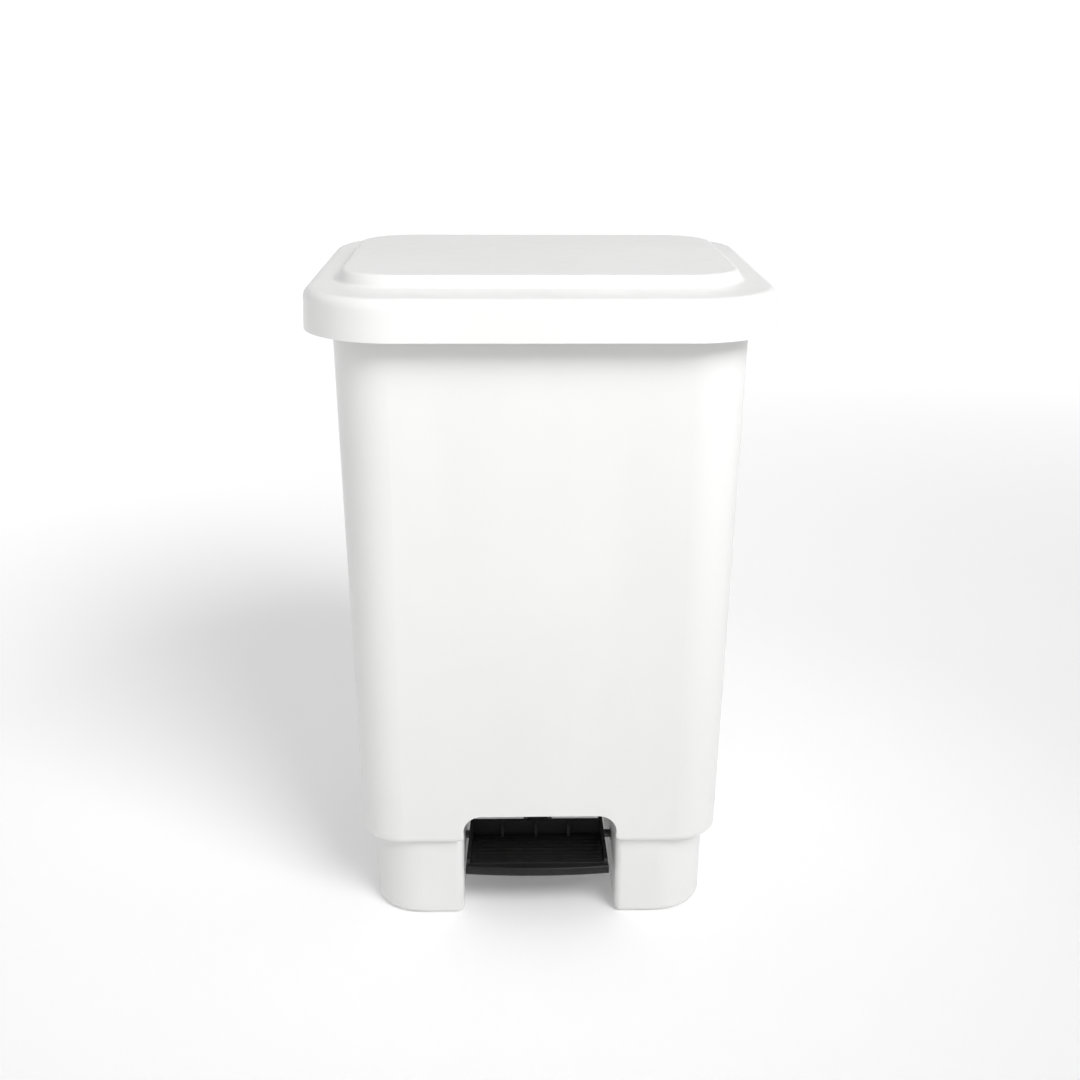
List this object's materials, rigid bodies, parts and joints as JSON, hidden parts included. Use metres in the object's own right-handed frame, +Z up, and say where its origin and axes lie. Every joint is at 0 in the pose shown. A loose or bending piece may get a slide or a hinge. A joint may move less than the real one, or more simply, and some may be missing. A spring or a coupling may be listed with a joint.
{
  "type": "pedal bin",
  "caption": "White plastic pedal bin with a hinged lid, a black foot pedal in the base and a lift rod at the back.",
  "frame": {"origin": "on the floor, at the middle of the bin's overall box (below the middle of the lid)", "axes": "+X to the right of a person facing the bin's front, +Y from the front (pedal side) to the back (hinge side), +Z up"},
  "size_m": [0.399, 0.397, 0.6],
  "materials": {
    "white_plastic": "semi-gloss moulded",
    "white_lid_plastic": "semi-gloss moulded",
    "black_plastic": "satin moulded",
    "bright_steel": "drawn",
    "black_steel": "black gloss lacquer",
    "zinc_wire": "zinc plated",
    "grey_rubber": "matte"
  },
  "bodies": {
    "bin_body": {"body_shell": "white_plastic", "axle_bush_left": "black_plastic", "axle_bush_right": "black_plastic", "rod_guide_lower": "black_plastic", "rod_guide_upper": "black_plastic", "guide_screws_lower": "bright_steel", "guide_screws_upper": "bright_steel", "hinge_block_left": "black_plastic", "hinge_block_right": "black_plastic", "hinge_screws_left": "bright_steel", "hinge_screws_right": "bright_steel", "hinge_pin_left": "bright_steel", "hinge_pin_right": "bright_steel", "hinge_clip_left": "bright_steel", "hinge_clip_right": "bright_steel", "foot_pad_front_left": "grey_rubber", "foot_pad_front_right": "grey_rubber", "foot_pad_rear_left": "grey_rubber", "foot_pad_rear_right": "grey_rubber"},
    "lid": {"lid_shell": "white_lid_plastic", "lid_lever": "black_plastic", "lid_bumper_front_left": "grey_rubber", "lid_bumper_front_right": "grey_rubber", "lid_bumper_rear_left": "grey_rubber", "lid_bumper_rear_right": "grey_rubber"},
    "pedal_lever": {"pedal": "black_plastic", "pedal_axle": "black_steel"},
    "lift_rod": {"push_rod": "zinc_wire", "rod_clip_lower": "bright_steel", "rod_clip_upper": "bright_steel"}
  },
  "joints": [
    {"name": "lid_hinge", "type": "hinge", "parent": "bin_body", "child": "lid", "pos_m": [0, 0.187, 0.565], "axis": [-1, 0, 0], "range_deg": [0, 75]},
    {"name": "pedal_hinge", "type": "hinge", "parent": "bin_body", "child": "pedal_lever", "pos_m": [0, -0.086, 0.0455], "axis": [1, 0, 0], "range_deg": [0, 20]},
    {"name": "rod_slide", "type": "slide", "parent": "bin_body", "child": "lift_rod", "axis": [0, 0, 1], "range_m": [0, 0.0452]}
  ],
  "couplings": [
    {"joint": "pedal_hinge", "follows": "lid_hinge", "ratio": 0.2666},
    {"joint": "rod_slide", "follows": "lid_hinge", "m_per_rad": 0.034492}
  ]
}
